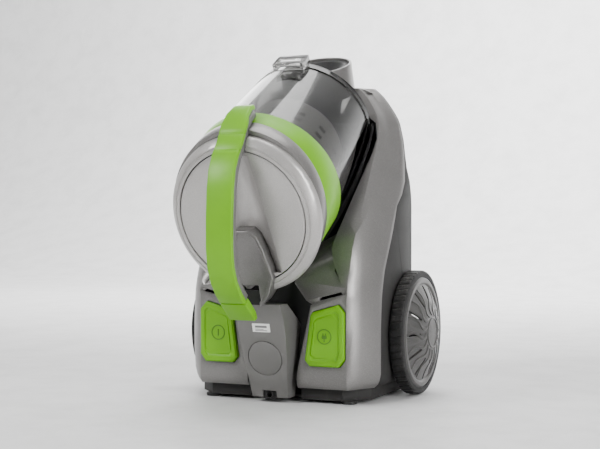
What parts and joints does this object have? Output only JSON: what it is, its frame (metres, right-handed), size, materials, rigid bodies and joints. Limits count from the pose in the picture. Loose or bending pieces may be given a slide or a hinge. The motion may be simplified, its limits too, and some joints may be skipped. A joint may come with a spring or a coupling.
{
  "type": "canister vacuum cleaner",
  "caption": "Bagless canister vacuum cleaner parked upright, with a tilted clear dust bin, green carry handle, foot pedals, large side wheels and a hose nose.",
  "frame": {"origin": "middle of the base on the surface that the cleaner stands on when parked upright", "axes": "+Z points forward along the cleaner (up when parked), -Y points out of its top side with the pedals, +X is to the right seen from the pedals"},
  "size_m": [0.311, 0.347, 0.4247],
  "materials": {
    "silver_plastic": "satin silver paint over plastic",
    "pale_silver": "satin pale silver",
    "grey_plastic": "fine grained",
    "dark_plastic": "fine grained",
    "charcoal_plastic": "fine grained",
    "green_plastic": "semi-gloss",
    "green_dark": "semi-gloss",
    "clear_plastic": "clear, lightly smoked",
    "tyre_rubber": "matte",
    "soft_rubber": "matte",
    "white_label": "printed film",
    "steel": "bright",
    "copper_winding": "varnished winding",
    "cord_sheath": "smooth",
    "foam": "open foam",
    "filter_paper": "pleated"
  },
  "bodies": {
    "base": {"base_shell": "charcoal_plastic", "upper_shell": "silver_plastic", "cradle": "dark_plastic", "centre_panel": "grey_plastic", "panel_disc": "grey_plastic", "rating_label": "white_label", "rear_feet": "soft_rubber", "cord_gland": "dark_plastic", "nose_collar": "silver_plastic", "hose_socket": "dark_plastic", "socket_seal": "soft_rubber", "inlet_duct": "charcoal_plastic", "outlet_duct": "charcoal_plastic", "exhaust_grille": "charcoal_plastic", "exhaust_filter": "filter_paper", "motor_can": "steel", "fan_cover": "steel", "motor_mounts": "soft_rubber", "power_switch": "dark_plastic", "reel_axle": "steel", "reel_spring_case": "steel", "pedal_springs": "steel", "stub_axles": "steel", "caster_socket": "charcoal_plastic", "shell_screws": "steel"},
    "rotor": {"motor_shaft": "steel", "armature": "copper_winding", "impeller": "steel"},
    "reel": {"reel_drum": "charcoal_plastic", "wound_cord": "cord_sheath"},
    "brake": {"brake_lever": "charcoal_plastic"},
    "power_pedal": {"power_pedal": "green_plastic", "power_icon": "green_dark"},
    "rewind_pedal": {"rewind_pedal": "green_plastic", "rewind_icon": "green_dark"},
    "wheel_left": {"hub_left": "grey_plastic", "tyre_left": "tyre_rubber"},
    "wheel_right": {"hub_right": "grey_plastic", "tyre_right": "tyre_rubber"},
    "caster_fork": {"caster_fork": "charcoal_plastic"},
    "caster_wheel": {"caster_wheel": "dark_plastic"},
    "bin": {"bin_shell": "clear_plastic", "hinge_pin": "steel", "green_band": "green_plastic", "cap_collar": "silver_plastic", "cap_ring": "pale_silver", "cap_panel": "pale_silver", "latch_tongue": "silver_plastic", "handle_strap": "green_plastic", "handle_core": "grey_plastic", "cyclone_shroud": "grey_plastic", "cyclone_cone": "charcoal_plastic", "foam_filter": "foam", "filter_frame": "grey_plastic"},
    "bin_door": {"bin_door": "clear_plastic", "door_seal": "soft_rubber", "door_catch": "clear_plastic"},
    "latch_hook": {"latch_hook": "dark_plastic"},
    "release_button": {"release_button": "green_plastic"}
  },
  "joints": [
    {"name": "rotor_spin", "type": "hinge", "parent": "base", "child": "rotor", "pos_m": [-0.057, 0.0675, 0.044], "axis": [0, 0, 1], "continuous": true},
    {"name": "reel_spin", "type": "hinge", "parent": "base", "child": "reel", "pos_m": [0.05, 0.0735, 0.078], "axis": [0, 1, 0], "continuous": true},
    {"name": "power_pedal_press", "type": "slide", "parent": "base", "child": "power_pedal", "axis": [0, 1, 0], "range_m": [0, 0.004], "stiffness_N_per_m": 1500, "springref_m": -0.002},
    {"name": "rewind_pedal_press", "type": "slide", "parent": "base", "child": "rewind_pedal", "axis": [0, 1, 0], "range_m": [0, 0.004], "stiffness_N_per_m": 1500, "springref_m": -0.002},
    {"name": "brake_press", "type": "slide", "parent": "base", "child": "brake", "axis": [0, 1, 0], "range_m": [0, 0.004]},
    {"name": "wheel_left_spin", "type": "hinge", "parent": "base", "child": "wheel_left", "pos_m": [-0.1245, 0.0975, 0.0763], "axis": [1, 0, 0], "continuous": true},
    {"name": "wheel_right_spin", "type": "hinge", "parent": "base", "child": "wheel_right", "pos_m": [0.1245, 0.0975, 0.0763], "axis": [1, 0, 0], "continuous": true},
    {"name": "caster_swivel", "type": "hinge", "parent": "base", "child": "caster_fork", "pos_m": [0, 0.14516, 0.322], "axis": [0, 1, 0], "continuous": true},
    {"name": "caster_roll", "type": "hinge", "parent": "caster_fork", "child": "caster_wheel", "pos_m": [0, 0.1615, 0.316], "axis": [1, 0, 0], "continuous": true},
    {"name": "bin_lift", "type": "slide", "parent": "base", "child": "bin", "axis": [0, -1, 0], "range_m": [0, 0.42]},
    {"name": "door_swing", "type": "hinge", "parent": "bin", "child": "bin_door", "pos_m": [0, 0.11687, 0.26375], "axis": [-1, 0, 0], "range_deg": [0, 95]},
    {"name": "release_press", "type": "slide", "parent": "bin", "child": "release_button", "axis": [0, 1, 0], "range_m": [0, 0.003], "stiffness_N_per_m": 900, "springref_m": -0.001},
    {"name": "hook_draw", "type": "slide", "parent": "bin", "child": "latch_hook", "axis": [0, -0.2924, 0.9563], "range_m": [0, 0.003]}
  ],
  "couplings": [
    {"joint": "door_swing", "follows": "bin_lift", "rad_per_m": 3.9468},
    {"joint": "brake_press", "follows": "rewind_pedal_press", "ratio": 1},
    {"joint": "hook_draw", "follows": "release_press", "ratio": 1}
  ]
}
